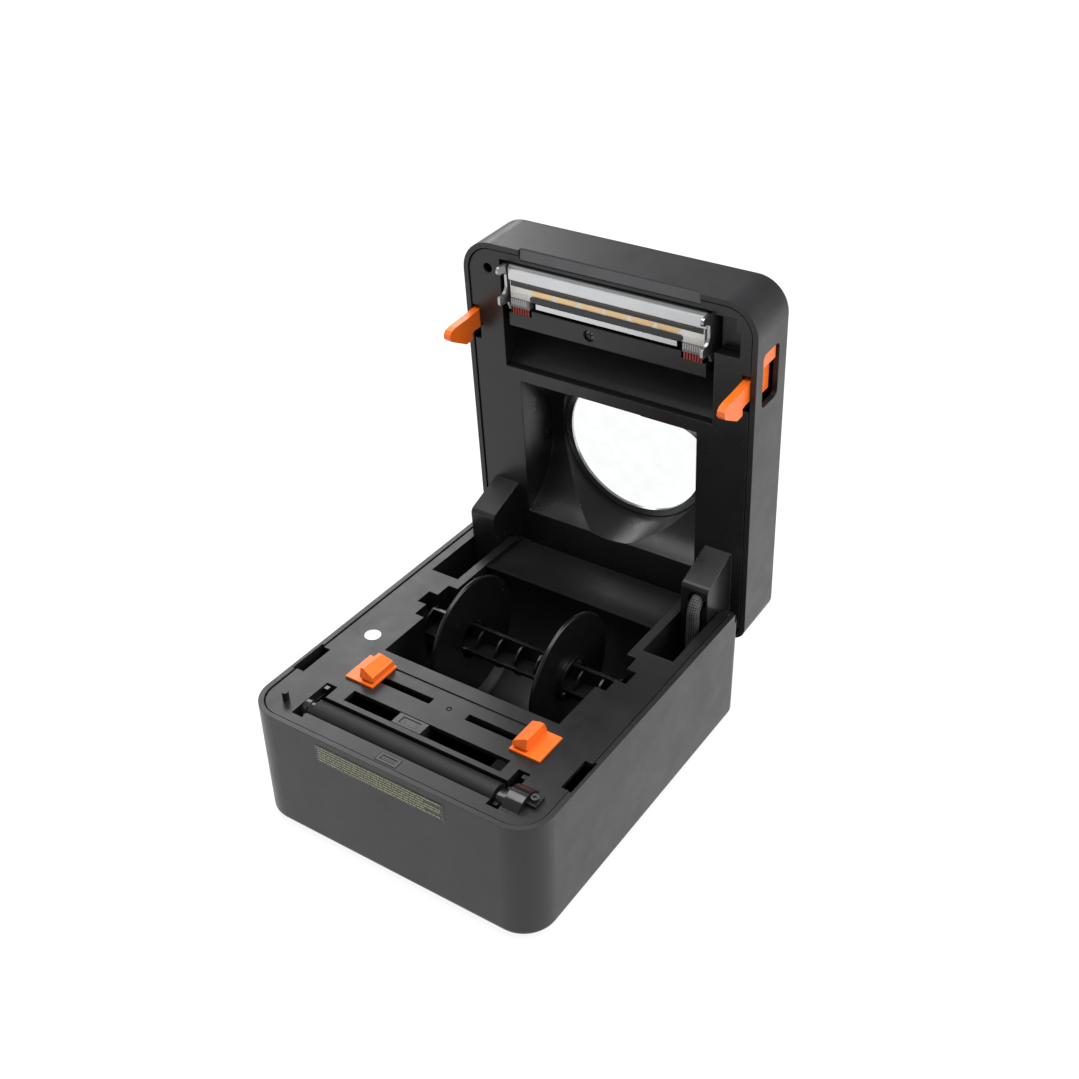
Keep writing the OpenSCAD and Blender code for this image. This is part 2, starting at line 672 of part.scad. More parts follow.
// inner face of the lid: flat plate, head pocket, roll vault, window shroud, hinge arms
module lid_liner() color(deck_black) difference() {
    opened() difference() {
        union() {
            translate([0, 0, liner_z]) linear_extrude(liner_t)
                plan(case_w - 2 * wall - 2 * rim_gap, case_d - 2 * wall - 2 * rim_gap,
                    front_r - wall - rim_gap, rear_r - wall - rim_gap);
            intersection() {
                union() {
                    rod(-bay_w / 2 - 2, vault_y, spindle_z, vault_r + 2, bay_w + 4);
                    translate([0, lens_y, part_z]) intersection() {
                        cylinder(r = shroud_r + 2, h = lid_h, $fn = 160);
                        translate([-60, -26.9 - lens_y, 0]) cube([120, 120, lid_h]);
                    }
                    slab(-67, 134, pocket_line(2));
                    span([62, -97.5, part_z], [79, -72.5, part_z + 11]);
                    // bearing blocks and spring seats of the latches
                    both() {
                        span([77.6, latch_y - 4, part_z], [80.8, latch_y + 4, latch_z + 4]);
                        span([80.4, latch_y - 28.4, part_z], [85.4, latch_y - 26.4, part_z + 17]);
                    }
                    // posts of the button board
                    for (p = [[70, -90], [77.2, -78]]) translate([p[0], p[1], part_z])
                        cylinder(d = 4, h = 25.2, $fn = 32);
                }
                translate([-100, -120, liner_z]) cube([200, 240, lid_h - 4]);
            }
            // lip behind the label mouth
            span([-51.4, -101.8, part_z + 2.8], [56.2, -98, part_z + 5.2]);
            both() slab(arm_x, arm_w, [[46.5, liner_z + 1], [54.3, part_z - 23.1], [54.8, part_z - 24.4],
                [55.7, part_z - 25.3], [57, part_z - 25.9], [58.4, part_z - 26], [97, part_z - 26],
                [101, part_z - 22], [101, liner_z + 1]]);
        }
        // roll vault and window shroud
        rod(-bay_w / 2, vault_y, spindle_z, vault_r, bay_w);
        translate([0, lens_y, part_z - 1]) intersection() {
            cylinder(r = shroud_r, h = lid_h + 4, $fn = 160);
            translate([-60, -24.9 - lens_y, 0]) cube([120, 120, lid_h + 4]);
        }
        // head pocket and recess for the gear cover
        slab(-65, 130, pocket_line(0));
        span([63, -95.6, part_z - 1], [77, -74.4, part_z + 9]);
        span([73, -88, part_z - 1], [79.2, -74.4, part_z + 6]);
        rod(-66.8, head_pivot_c[0], head_pivot_c[1], 2.02, 133.6);
        // room for the tear bar
        span([-51.6, -case_d / 2 - 1, part_z - 1], [56.4, -99, part_z + 2.75]);
        // locating hole, latch slots, latch pin bores, hinge pin bores
        translate([-73, -90, part_z - 1]) cylinder(d = 5.6, h = 8, $fn = 32);
        both() {
            span([80.9, latch_y - 5.6, part_z - 1], [90, latch_y + 15, part_z + 4]);
            rod(77, latch_y, latch_z, 1.52, 5);
            rod(arm_x - 1, hinge_y, hinge_z, hinge_pin_d / 2 + 0.05, arm_w + 2);
        }
    }
    // way for the cable through the right arm
    translate([sleeve_x, sleeve_y - 4, part_z + 12]) rotate([-90, 0, 0])
        cylinder(d = 11, h = 60, $fn = 48);
}

module window_lens() color([0.85, 0.9, 0.92, 0.4]) opened()
    translate([0, lens_y, lid_top - 2.7]) cylinder(r = lens_r, h = 2.1, $fn = 160);

module window_ring() color(steel) opened()
    translate([0, lens_y, lid_top - 4.8]) difference() {
        cylinder(r = shroud_r - 0.4, h = 1.9, $fn = 160);
        translate([0, 0, -1]) cylinder(r = lens_r - 1.8, h = 4, $fn = 160);
        span([-60, -80, -1], [60, -24.5 - lens_y, 4]);
    }

// toothed bar over the label mouth
module tear_bar() color([0.3, 0.3, 0.31]) opened() {
    tooth = 1;
    count = floor(107.8 / tooth);
    y = -case_d / 2 - 0.1;
    translate([-51.4, 0, part_z + 1.2]) linear_extrude(1.2) {
        polygon(concat([[107.6, -99.3], [0, -99.3], [0, y]],
            [for (k = [0 : count - 1], s = [0.5, 1]) [(k + s) * tooth, s == 1 ? y : y - 0.9]],
            [[107.6, y]]));
    }
}

// one latch drawn for the right side: finger pad, pivot and hook
module latch() opened() difference() {
    union() {
        slab(latch_x, latch_w, [for (p = [[-4, 10], [-3, 0], [-2.2, -10], [-1.9, -21], [-1.2, -24.6],
            [0.4, -26.5], [3, -26.8], [5, -25.2], [12, -13.4], [12.4, -12], [12.4, -7.6], [11.6, -6.8],
            [8.2, -7.2], [7.6, -4], [7.6, 10]]) [latch_y + p[0], part_z + p[1]]]);
        span([latch_x, latch_y - 13.8, part_z + 9], [latch_x + 3.3, latch_y + 11.8, part_z + 24]);
        translate([0, 0, part_z + 9]) linear_extrude(15) polygon([[latch_x + 3, latch_y - 13.8],
            [latch_x + 6.4, latch_y - 13.8], [latch_x + 6.4, latch_y - 6.6], [latch_x + 3, latch_y - 4.6]]);
    }
    rod(latch_x - 1, latch_y, latch_z, 1.55, 4);
}

module latch_right() color(orange) latch();

module latch_left() color(orange) mirror([1, 0, 0]) latch();

module latch_pins() color(steel) opened() both() rod(77.8, latch_y, latch_z, 1.5, 6.2);

// coil spring along Z from the origin, drawn as closed turns on a core strip
module coil(r, wire, length, turns) {
    step = (length - 2 * wire) / (turns - 1);
    for (k = [0 : turns - 1]) translate([0, 0, wire + k * step])
        rotate_extrude($fn = 32) translate([r, 0]) circle(r = wire, $fn = 12);
    for (a = [0, 180]) rotate([0, 0, a]) translate([r - wire * 0.6, -wire * 0.6, wire])
        cube([wire * 1.2, wire * 1.2, length - 2 * wire]);
}

module latch_springs() color(steel) opened() both()
    translate([83, latch_y - 26.3, part_z + 13]) rotate([-90, 0, 0]) coil(1.9, 0.4, 12.1, 7);

// ---------------------------------------------------------------- print head

module head_carrier() color(deck_black) opened() difference() {
    union() {
        span([-60.4, -95, part_z + 9.6], [60.4, -58.9, part_z + 23.8]);
        span([-60.4, -70.4, part_z + 0.7], [60.4, -58.9, part_z + 10]);
        span([-60.4, -88, part_z + 4.5], [60.4, -74.4, part_z + 10]);
    }
    // pockets for the wires
    span([-61, -71, part_z], [-45.6, -66.6, part_z + 9.6]);
    span([46, -71, part_z], [61, -66.6, part_z + 9.6]);
    rod(-70, head_pivot_c[0], head_pivot_c[1], 2.05, 140);
    translate([carrier_screw_x, -64.6, part_z - 1]) {
        cylinder(d = 6.6, h = 5.2, $fn = 48);
        cylinder(d = 2.96, h = 15, $fn = 32);
    }
}

module heat_sink_bar() color([0.82, 0.83, 0.84]) opened() {
    r = 3.4;
    rod(-60, -91.9, head_z + r + 0.05, r, 120);
    span([-60, -91.9, head_z + 0.05], [60, -86.1, part_z + 4.4]);
    span([-60, -95.2, head_z + r], [60, -88.2, part_z + 9.5]);
}

module ceramic_board() color([0.95, 0.94, 0.9]) opened() {
    span([-59, -86.05, head_z], [59, -75.8, part_z + 4.4]);
}

module chip_cover() color(rubber_black) opened() {
    span([-44.6, -79.2, head_z - 0.75], [45.4, -76, head_z - 0.02]);
    for (x = [-44.6, 45.4]) translate([x, -77.6, head_z - 0.75]) cylinder(r = 1.58, h = 0.73, $fn = 32);
}

module clamp_strip() color(steel) opened()
    span([-42.4, -75.6, head_z - 0.9], [43.8, -72.6, part_z + 4.4]);

module head_connectors() color(white) opened() {
    span([-58.6, -75.7, head_z - 1.1], [-46.4, -70.9, part_z + 4.2]);
    span([47, -75.7, head_z - 1.1], [58.6, -70.9, part_z + 4.2]);
}

module head_wires() color([0.75, 0.12, 0.08]) opened()
    for (x0 = [-57.4, 48], k = [0 : 6]) translate([x0 + 1.6 * k, -70.85, head_z - 0.2])
        rotate([-90, 0, 0]) cylinder(r = 0.6, h = 4.2, $fn = 16);

module head_brackets() color(steel) opened() both() {
    slab(60.7, 1.6, [for (p = [[-95.2, -4.4], [-90.9, -4.4], [-90.9, -3.2], [-90.2, -0.6], [-88.6, 0.8],
        [-81.6, 0.8], [-79.6, -0.4], [-78.5, -2.6], [-78.4, -5.8], [-77.6, -6.6], [-74, -6.6],
        [-73, -5.8], [-72.6, -1], [-72.4, 1.4], [-67, 3.6], [-66, 9], [-66, 17], [-95.2, 17]])
        [p[0], part_z + p[1]]]);
    rod(60.7, -93, part_z - 4.4, 2.3, 1.6);
}

module head_pivot() color(steel) opened()
    rod(-66.6, head_pivot_c[0], head_pivot_c[1], 2, 133.2);

module carrier_screw() color(steel) opened()
    translate([carrier_screw_x, -64.6, part_z + 2.5]) pan_screw(6, 1.7, 2.92, 9);

module head_springs() color(steel) opened()
    for (x = [-42, 0, 42]) translate([x, -86, part_z + 24]) coil(3, 0.45, 5.8, 4);

// ---------------------------------------------------------------- lid button

module feed_button() color([0.5, 0.5, 0.51]) opened() translate([button_x, button_y, 0]) {
    translate([0, 0, lid_top - 3.2]) cylinder(d = 12, h = 4, $fn = 64);
    translate([0, 0, lid_top - 4.6]) cylinder(d = 14, h = 1.6, $fn = 64);
    translate([0, 0, lid_top - 9.1]) cylinder(d = 4, h = 5, $fn = 32);
}

module status_light() color([0.9, 0.95, 0.9]) opened()
    translate([button_x, button_y + 11.4, part_z + 26.6]) cylinder(d = 3, h = lid_h - 26.6, $fn = 32);

module button_board() color([0.08, 0.3, 0.16]) opened() {
    span([67.8, -93, part_z + 25.3], [81, -71.6, part_z + 26.5]);
    span([button_x - 3, button_y - 3, part_z + 26.5], [button_x + 3, button_y + 3, part_z + 27]);
}

// ---------------------------------------------------------------- choice of node

translate([0, frame_shift, 0]) {
    base_shell();
    rubber_feet();
    case_screws();
    deck_frame();
    hinge_pins();
    cable_sleeve();
    platen_rubber();
    platen_shaft();
    platen_bushings();
    platen_gear();
    gear_cover();
    gear_cover_screw();
    idler_gear();
    idler_pin();
    stepper_motor();
    motor_bracket();
    motor_shaft();
    motor_pinion();
    main_board();
    io_board();
    power_inlet();
    usb_socket();
    switch_frame();
    power_rocker();
    guide_left();
    guide_right();
    rack_left();
    rack_right();
    guide_pinion();
    pinion_screw();
    gap_sensor();
    front_sensor();
    spindle();
    disc_left();
    disc_right();
    blank_sticker();
    front_film();
    lid_shell();
    lid_liner();
    window_lens();
    window_ring();
    tear_bar();
    latch_left();
    latch_right();
    latch_pins();
    latch_springs();
    head_carrier();
    heat_sink_bar();
    ceramic_board();
    chip_cover();
    clamp_strip();
    head_connectors();
    head_wires();
    head_brackets();
    head_pivot();
    carrier_screw();
    head_springs();
    feed_button();
    status_light();
    button_board();
}
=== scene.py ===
import math
import random

import bmesh
import bpy
from mathutils import Matrix, Vector


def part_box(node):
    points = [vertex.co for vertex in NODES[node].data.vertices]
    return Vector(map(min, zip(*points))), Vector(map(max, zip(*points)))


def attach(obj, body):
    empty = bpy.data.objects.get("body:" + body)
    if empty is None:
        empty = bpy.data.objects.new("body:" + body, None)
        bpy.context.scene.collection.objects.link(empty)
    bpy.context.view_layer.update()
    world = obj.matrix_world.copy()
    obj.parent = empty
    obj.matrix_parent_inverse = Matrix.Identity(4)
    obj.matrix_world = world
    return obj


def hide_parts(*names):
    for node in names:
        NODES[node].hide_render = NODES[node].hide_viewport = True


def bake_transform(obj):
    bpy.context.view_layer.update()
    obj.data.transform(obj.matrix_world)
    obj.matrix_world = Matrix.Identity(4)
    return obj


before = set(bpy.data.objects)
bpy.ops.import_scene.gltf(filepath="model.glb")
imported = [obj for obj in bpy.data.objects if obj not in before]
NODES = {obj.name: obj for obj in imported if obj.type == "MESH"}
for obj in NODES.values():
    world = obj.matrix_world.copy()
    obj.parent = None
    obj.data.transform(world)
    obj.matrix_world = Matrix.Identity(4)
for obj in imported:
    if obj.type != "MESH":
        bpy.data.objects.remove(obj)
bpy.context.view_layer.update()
rng = random.Random(4206)
MM = 0.001

# The lid is drawn shut and turned open about its hinge, as in the CAD model.
HINGE = Vector((0, 92.5, 58.5)) * MM
OPEN = math.radians(-87)
# The middle of the base is this far in front of the row's origin.
SHIFT = Vector((0, -20.6, 0)) * MM


def shut(x, y, z):
    """A point given in millimetres with the lid shut, moved to where it is with the lid open."""
    p = Vector((x, y, z)) * MM
    return HINGE + Matrix.Rotation(OPEN, 3, "X") @ (p - HINGE) + SHIFT


def on_base(x, y, z):
    """A point given in millimetres from the middle of the base."""
    return Vector((x, y, z)) * MM + SHIFT


# ------------------------------------------------------------------ materials

def new_material(name):
    mat = bpy.data.materials.new(name)
    mat.use_nodes = True
    tree = mat.node_tree
    tree.nodes.clear()
    out = tree.nodes.new("ShaderNodeOutputMaterial")
    shader = tree.nodes.new("ShaderNodeBsdfPrincipled")
    tree.links.new(shader.outputs[0], out.inputs[0])
    return mat, tree, shader


def node(tree, kind, **values):
    made = tree.nodes.new(kind)
    for key, value in values.items():
        if key.startswith("_"):
            setattr(made, key[1:], value)
        else:
            made.inputs[key.replace("_", " ")].default_value = value
    return made


def object_place(tree, stretch=(1, 1, 1)):
    """Object coordinates, stretched, for a texture to read."""
    place = node(tree, "ShaderNodeTexCoord")
    mapping = node(tree, "ShaderNodeMapping")
    mapping.inputs["Scale"].default_value = stretch
    tree.links.new(place.outputs["Object"], mapping.inputs[0])
    return mapping.outputs[0]


def noise(tree, vector, scale, detail=3.0, rough=0.5):
    made = node(tree, "ShaderNodeTexNoise", Scale=scale, Detail=detail, Roughness=rough)
    tree.links.new(vector, made.inputs["Vector"])
    return made.outputs["Fac"]


def ramp(tree, value, stops):
    made = node(tree, "ShaderNodeValToRGB")
    elements = made.color_ramp.elements
    while len(elements) < len(stops):
        elements.new(0.5)
    for element, (at, colour) in zip(elements, stops):
        element.position = at
        element.color = (*colour, 1)
    tree.links.new(value, made.inputs[0])
    return made.outputs[0]


def spread(tree, value, low, high, start=0.3, end=0.7):
    made = node(tree, "ShaderNodeMapRange", From_Min=start, From_Max=end, To_Min=low, To_Max=high)
    tree.links.new(value, made.inputs["Value"])
    return made.outputs[0]


def bumped(tree, height, strength, distance, edge=0.0):
    """Bump from height, over edges rounded to the radius edge."""
    made = node(tree, "ShaderNodeBump", Strength=strength, Distance=distance)
    tree.links.new(height, made.inputs["Height"])
    if edge:
        bevel = node(tree, "ShaderNodeBevel", _samples=4, Radius=edge)
        tree.links.new(bevel.outputs[0], made.inputs["Normal"])
    return made.outputs[0]


def tint(colour, by):
    return tuple(min(1.0, c * by) for c in colour)


def plastic(name, colour, rough, grain=1500.0, strength=0.25, edge=0.25 * MM, specular=0.5, swing=0.1,
            coat=0.0):
    """Moulded plastic: a fine spark-eroded grain, faint flow marks and slightly polished edges."""
    mat, tree, shader = new_material(name)
    place = object_place(tree)
    cloud = noise(tree, place, 22.0, 4.0)
    speck = noise(tree, place, grain, 2.0, 0.6)
    tone = ramp(tree, cloud, [(0.3, tint(colour, 1 - swing)), (0.7, tint(colour, 1 + swing))])
    grit = ramp(tree, speck, [(0.38, (0.86, 0.86, 0.86)), (0.62, (1.0, 1.0, 1.0))])
    mixed = node(tree, "ShaderNodeMix", _data_type="RGBA", _blend_type="MULTIPLY")
    mixed.inputs[0].default_value = 1.0
    tree.links.new(tone, mixed.inputs[6])
    tree.links.new(grit, mixed.inputs[7])
    tree.links.new(mixed.outputs[2], shader.inputs["Base Color"])
    wear = noise(tree, place, 60.0, 5.0, 0.65)
    tree.links.new(spread(tree, wear, rough - 0.05, rough + 0.06), shader.inputs["Roughness"])
    tree.links.new(bumped(tree, speck, strength, 0.04 * MM, edge), shader.inputs["Normal"])
    shader.inputs["Specular IOR Level"].default_value = specular
    if coat:
        shader.inputs["Coat Weight"].default_value = coat
        shader.inputs["Coat Roughness"].default_value = 0.2
    return mat


def metal(name, colour, rough, along=(1, 60, 60), strength=0.15, edge=0.12 * MM, swing=0.12):
    """Metal with fine drawn lines along the axis that is stretched least."""
    mat, tree, shader = new_material(name)
    lines = noise(tree, object_place(tree, along), 90.0, 3.0, 0.6)
    cloud = noise(tree, object_place(tree), 70.0, 4.0)
    tone = ramp(tree, cloud, [(0.3, tint(colour, 1 - swing)), (0.7, colour)])
    tree.links.new(tone, shader.inputs["Base Color"])
    tree.links.new(spread(tree, lines, rough - 0.07, rough + 0.1), shader.inputs["Roughness"])
    tree.links.new(bumped(tree, lines, strength, 0.03 * MM, edge), shader.inputs["Normal"])
    shader.inputs["Metallic"].default_value = 1.0
    return mat


def rubber(name, colour, rough=0.72):
    mat, tree, shader = new_material(name)
    place = object_place(tree)
    speck = noise(tree, place, 2600.0, 2.0, 0.7)
    cloud = noise(tree, place, 35.0, 4.0)
    tree.links.new(ramp(tree, cloud, [(0.3, tint(colour, 0.8)), (0.7, tint(colour, 1.25))]),
                   shader.inputs["Base Color"])
    tree.links.new(spread(tree, speck, rough - 0.08, rough + 0.08), shader.inputs["Roughness"])
    tree.links.new(bumped(tree, speck, 0.4, 0.03 * MM, 0.2 * MM), shader.inputs["Normal"])
    shader.inputs["Specular IOR Level"].default_value = 0.35
    return mat


def clear(name, colour, rough, ior=1.49, swing=0.04):
    mat, tree, shader = new_material(name)
    haze = noise(tree, object_place(tree), 120.0, 4.0)
    tone = ramp(tree, haze, [(0.35, tint(colour, 1 - swing)), (0.65, colour)])
    tree.links.new(tone, shader.inputs["Base Color"])
    tree.links.new(spread(tree, haze, rough, rough + 0.05), shader.inputs["Roughness"])
    shader.inputs["Transmission Weight"].default_value = 1.0
    shader.inputs["IOR"].default_value = ior
    return mat


def board(name):
    """Circuit board: solder mask with faint tracks under it."""
    mat, tree, shader = new_material(name)
    brick = node(tree, "ShaderNodeTexBrick", Scale=190.0, Mortar_Size=0.03)
    brick.inputs["Color1"].default_value = (0.012, 0.11, 0.04, 1)
    brick.inputs["Color2"].default_value = (0.014, 0.13, 0.05, 1)
    brick.inputs["Mortar"].default_value = (0.03, 0.2, 0.08, 1)
    tree.links.new(object_place(tree), brick.inputs["Vector"])
    tree.links.new(brick.outputs["Color"], shader.inputs["Base Color"])
    tree.links.new(bumped(tree, brick.outputs["Fac"], 0.3, 0.03 * MM), shader.inputs["Normal"])
    shader.inputs["Roughness"].default_value = 0.32
    return mat


M_CASE = plastic("case_plastic", (0.013, 0.013, 0.0145), 0.36, 1700.0, 0.20, 0.5 * MM, 0.42, 0.06)
M_DECK = plastic("deck_plastic", (0.010, 0.010, 0.011), 0.34, 1300.0, 0.24, 0.3 * MM, 0.42, 0.14)
M_LINER = plastic("liner_plastic", (0.012, 0.012, 0.013), 0.30, 1300.0, 0.16, 0.8 * MM, 0.42, 0.12)
M_ROLL = plastic("roll_plastic", (0.006, 0.006, 0.0065), 0.22, 900.0, 0.02, 0.3 * MM, 0.42, 0.08)
M_BLACK = plastic("black_plastic", (0.016, 0.016, 0.017), 0.30, 1500.0, 0.15, 0.2 * MM, 0.5, 0.08)
M_ORANGE = plastic("orange_plastic", (0.98, 0.165, 0.012), 0.34, 1900.0, 0.10, 0.3 * MM, 0.5, 0.04)
M_GREY = plastic("grey_plastic", (0.14, 0.142, 0.145), 0.38, 1600.0, 0.2, 0.2 * MM)
M_TRACK = plastic("satin_black", (0.012, 0.012, 0.013), 0.16, 1600.0, 0.05, 0.3 * MM, 0.6)
M_BUTTON = plastic("button_plastic", (0.24, 0.245, 0.25), 0.36, 1600.0, 0.2, 0.3 * MM)
M_ACETAL = plastic("white_acetal", (0.78, 0.77, 0.72), 0.36, 1600.0, 0.1, 0.12 * MM, 0.5, 0.03)
M_CONNECTOR = plastic("connector_nylon", (0.76, 0.75, 0.70), 0.42, 2000.0, 0.12, 0.12 * MM, 0.5, 0.04)
M_CERAMIC = plastic("glazed_ceramic", (0.80, 0.79, 0.74), 0.20, 2400.0, 0.03, 0.08 * MM, 0.6, 0.02, 0.4)
M_CHIP = plastic("chip_resin", (0.014, 0.014, 0.015), 0.24, 900.0, 0.25, 0.2 * MM)
M_MOTOR = plastic("motor_enamel", (0.022, 0.022, 0.023), 0.30, 800.0, 0.2, 0.3 * MM)
M_STICKER = plastic("sticker_paper", (0.80, 0.80, 0.78), 0.5, 2600.0, 0.12, 0.05 * MM, 0.4, 0.03)
M_STEEL = metal("bright_steel", (0.62, 0.62, 0.63), 0.28)
M_ZINC = metal("zinc_plate", (0.47, 0.48, 0.49), 0.34, (40, 40, 1), 0.2)
M_ALU = metal("satin_aluminium", (0.58, 0.59, 0.60), 0.28, (1, 70, 70), 0.12, 0.2 * MM, 0.06)
M_RING = metal("bright_ring", (0.62, 0.63, 0.64), 0.20, (1, 1, 1), 0.05, 0.2 * MM, 0.06)
M_SPRING = metal("spring_wire", (0.58, 0.58, 0.60), 0.24, (1, 1, 30), 0.1, 0.0)
M_BLACKENED = metal("blackened_steel", (0.11, 0.11, 0.115), 0.36, (1, 50, 50), 0.15)
M_BRASS = metal("brass", (0.72, 0.52, 0.24), 0.28, (30, 1, 1), 0.1)
M_PLATEN = rubber("platen_rubber", (0.006, 0.006, 0.007), 0.55)
M_FEET = rubber("foot_rubber", (0.017, 0.017, 0.018), 0.82)
M_WIRE = plastic("red_wire", (0.30, 0.02, 0.012), 0.38, 2600.0, 0.08, 0.0)
M_BOARD = board("solder_mask")
M_LENS = clear("clear_lens", (0.985, 0.99, 0.995), 0.0)
M_LIGHT = clear("light_pipe", (0.78, 0.93, 0.80), 0.25)
M_FILM = clear("clear_film", (0.96, 0.97, 0.94), 0.05, 1.16)
M_LINE = plastic("heater_line", (0.10, 0.075, 0.055), 0.22, 2400.0, 0.05, 0.0)
M_GOLD = metal("resistor_line", (0.80, 0.56, 0.30), 0.36, (1, 80, 80), 0.1, 0.0)
M_INK = plastic("film_ink", (0.36, 0.37, 0.22), 0.5, 2600.0, 0.05, 0.0)
M_SENSOR = plastic("sensor_window", (0.045, 0.045, 0.048), 0.16, 1500.0, 0.05, 0.1 * MM)

LOOK = {
    M_CASE: ["base_shell", "lid_shell"],
    M_DECK: ["deck_frame"],
    M_LINER: ["lid_liner", "head_carrier"],
    M_ROLL: ["spindle", "disc_left", "disc_right"],
    M_TRACK: ["gear_cover", "platen_bushings"],
    M_BLACK: ["power_inlet", "switch_frame", "power_rocker", "gap_sensor", "front_sensor", "rack_left",
              "rack_right"],
    M_ORANGE: ["guide_left", "guide_right", "latch_left", "latch_right"],
    M_GREY: ["head_connectors"],
    M_BUTTON: ["feed_button"],
    M_ACETAL: ["platen_gear", "idler_gear", "guide_pinion"],
    M_CERAMIC: ["ceramic_board"],
    M_CHIP: ["chip_cover"],
    M_MOTOR: ["stepper_motor"],
    M_STICKER: ["blank_sticker"],
    M_STEEL: ["case_screws", "hinge_pins", "platen_shaft", "idler_pin", "pinion_screw", "usb_socket",
              "latch_pins", "head_pivot", "motor_shaft"],
    M_ZINC: ["motor_bracket", "head_brackets"],
    M_ALU: ["heat_sink_bar", "clamp_strip"],
    M_RING: ["window_ring"],
    M_SPRING: ["latch_springs", "head_springs"],
    M_BLACKENED: ["tear_bar", "gear_cover_screw", "carrier_screw"],
    M_BRASS: ["motor_pinion"],
    M_PLATEN: ["platen_rubber"],
    M_FEET: ["rubber_feet"],
    M_WIRE: ["head_wires"],
    M_BOARD: ["main_board", "io_board", "button_board"],
    M_LENS: ["window_lens"],
    M_LIGHT: ["status_light"],
    M_FILM: ["front_film"],
}
for material, names in LOOK.items():
    for name in names:
        mesh = NODES[name].data
        mesh.materials.clear()
        mesh.materials.append(material)
missed = sorted(set(NODES) - {n for names in LOOK.values() for n in names} - {"cable_sleeve"})
if missed:
    raise SystemExit("no look for " + ", ".join(missed))


# ------------------------------------------------------------------ added pieces

def finish_piece(name, bm, material, body, smooth=False):
    """The mesh becomes a named piece that rides on a body."""
    bmesh.ops.recalc_face_normals(bm, faces=bm.faces)
    mesh = bpy.data.meshes.new(name)
    bm.to_mesh(mesh)
    bm.free()
    mesh.materials.append(material)
    if smooth:
        mesh.shade_smooth()
    piece = bpy.data.objects.new(name, mesh)
    bpy.context.scene.collection.objects.link(piece)
    if body:
        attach(piece, body)
    return piece


def add_block(bm, low, high, place=None):
    """A block between two corners in millimetres; place turns each corner into a point of the row frame."""
    place = place or on_base
    for v in bmesh.ops.create_cube(bm, size=1.0)["verts"]:
        v.co = place(*[low[k] + (v.co[k] + 0.5) * (high[k] - low[k]) for k in range(3)])


def add_prism(bm, outline, low, high, place=None):
    """A prism on an x, y outline in millimetres, from low to high."""
    place = place or on_base
    floor_ring = [bm.verts.new(place(x, y, low)) for x, y in outline]
    roof_ring = [bm.verts.new(place(x, y, high)) for x, y in outline]
    bm.faces.new(floor_ring)
    bm.faces.new(roof_ring)
    for k in range(len(outline)):
        m = (k + 1) % len(outline)
        bm.faces.new((floor_ring[k], floor_ring[m], roof_ring[m], roof_ring[k]))


# The print head faces the platen when the lid is shut: dark glaze and heater line on the ceramic board, the gold
# leads beside them, and the comb of solder leads and contacts at each connector.
HEAD_Z = 76.3                      # face of the ceramic board, lid shut
bm = bmesh.new()
add_block(bm, (-58.6, -85.95, HEAD_Z - 0.05), (58.6, -82.75, HEAD_Z + 0.02), shut)
finish_piece("heater_glaze", bm, M_CHIP, "print_head")
bm = bmesh.new()
add_block(bm, (-52, -85.3, HEAD_Z - 0.09), (52, -84.9, HEAD_Z), shut)
finish_piece("heater_line", bm, M_LINE, "print_head")
bm = bmesh.new()
pitch, groups = 15.4, 6
for k in range(groups):
    x = (k - groups / 2) * pitch + 0.4
    lean = 0.9 if k % 2 else 0.2
    outline = ((x, -82.6), (x + pitch - 0.5, -82.6), (x + pitch - 2.4 - lean, -79.5), (x + 2.0 - lean, -79.5))
    add_prism(bm, outline, HEAD_Z - 0.05, HEAD_Z + 0.02, shut)
finish_piece("gold_leads", bm, M_GOLD, "print_head")
bm = bmesh.new()
for start in (-58.3, 47.4):
    for k in range(12):
        x = start + 0.92 * k
        add_block(bm, (x, -79.3, HEAD_Z - 0.22), (x + 0.5, -75.6, HEAD_Z + 0.01), shut)
finish_piece("solder_comb", bm, M_CONNECTOR, "print_head")
bm = bmesh.new()
for start in (-57.9, 47.5):
    for k in range(8):
        x = start + 1.3 * k
        add_block(bm, (x, -75.72, HEAD_Z - 1.16), (x + 0.34, -72.4, HEAD_Z - 1.05), shut)
finish_piece("connector_contacts", bm, M_STEEL, "print_head")

# pale ruled marks on the film on the front face: plain dashes, no letters
FIRST_ROW, ROW_PITCH, DASH_HEIGHT = 69.4, 1.62, 0.62
ROW_START, ROW_END, SHORT_BY = -39.2, 36.8, 10
bm = bmesh.new()
for row in range(6):
    z = FIRST_ROW - row * ROW_PITCH
    x = ROW_START
    end = ROW_END - (SHORT_BY if row in (1, 4) else 0)
    while x < end:
        length = rng.uniform(0.9, 3.4)
        add_block(bm, (x, -105.26, z), (min(x + length, end), -105.215, z + DASH_HEIGHT))
        x += length + rng.uniform(0.35, 0.6)
finish_piece("film_marks", bm, M_INK, "base")

# fine ribs in the windows of the two label sensors
RIBS = 9
for name, body, x0, x1, y0, y1 in (("gap_sensor_window", "gap_sensor", -13.2, -2.8, -72.2, -68.2),
                                   ("front_sensor_window", "base", -4.2, 4.2, -98.3, -96.0)):
    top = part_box("gap_sensor" if body == "gap_sensor" else "front_sensor")[1].z / MM
    floor = 73.7 if body == "gap_sensor" else 74.0
    bm = bmesh.new()
    add_block(bm, (x0 - 0.3, y0 - 0.3, floor - 0.05), (x1 + 0.3, y1 + 0.3, floor + 0.12))
    for k in range(RIBS):
        x = x0 + (k + 0.25) * (x1 - x0) / RIBS
        add_block(bm, (x, y0, floor + 0.1), (x + 0.35, y1, min(floor + 0.42, top - 0.02)))
    finish_piece(name, bm, M_SENSOR, body)


# ------------------------------------------------------------------ braided sleeve

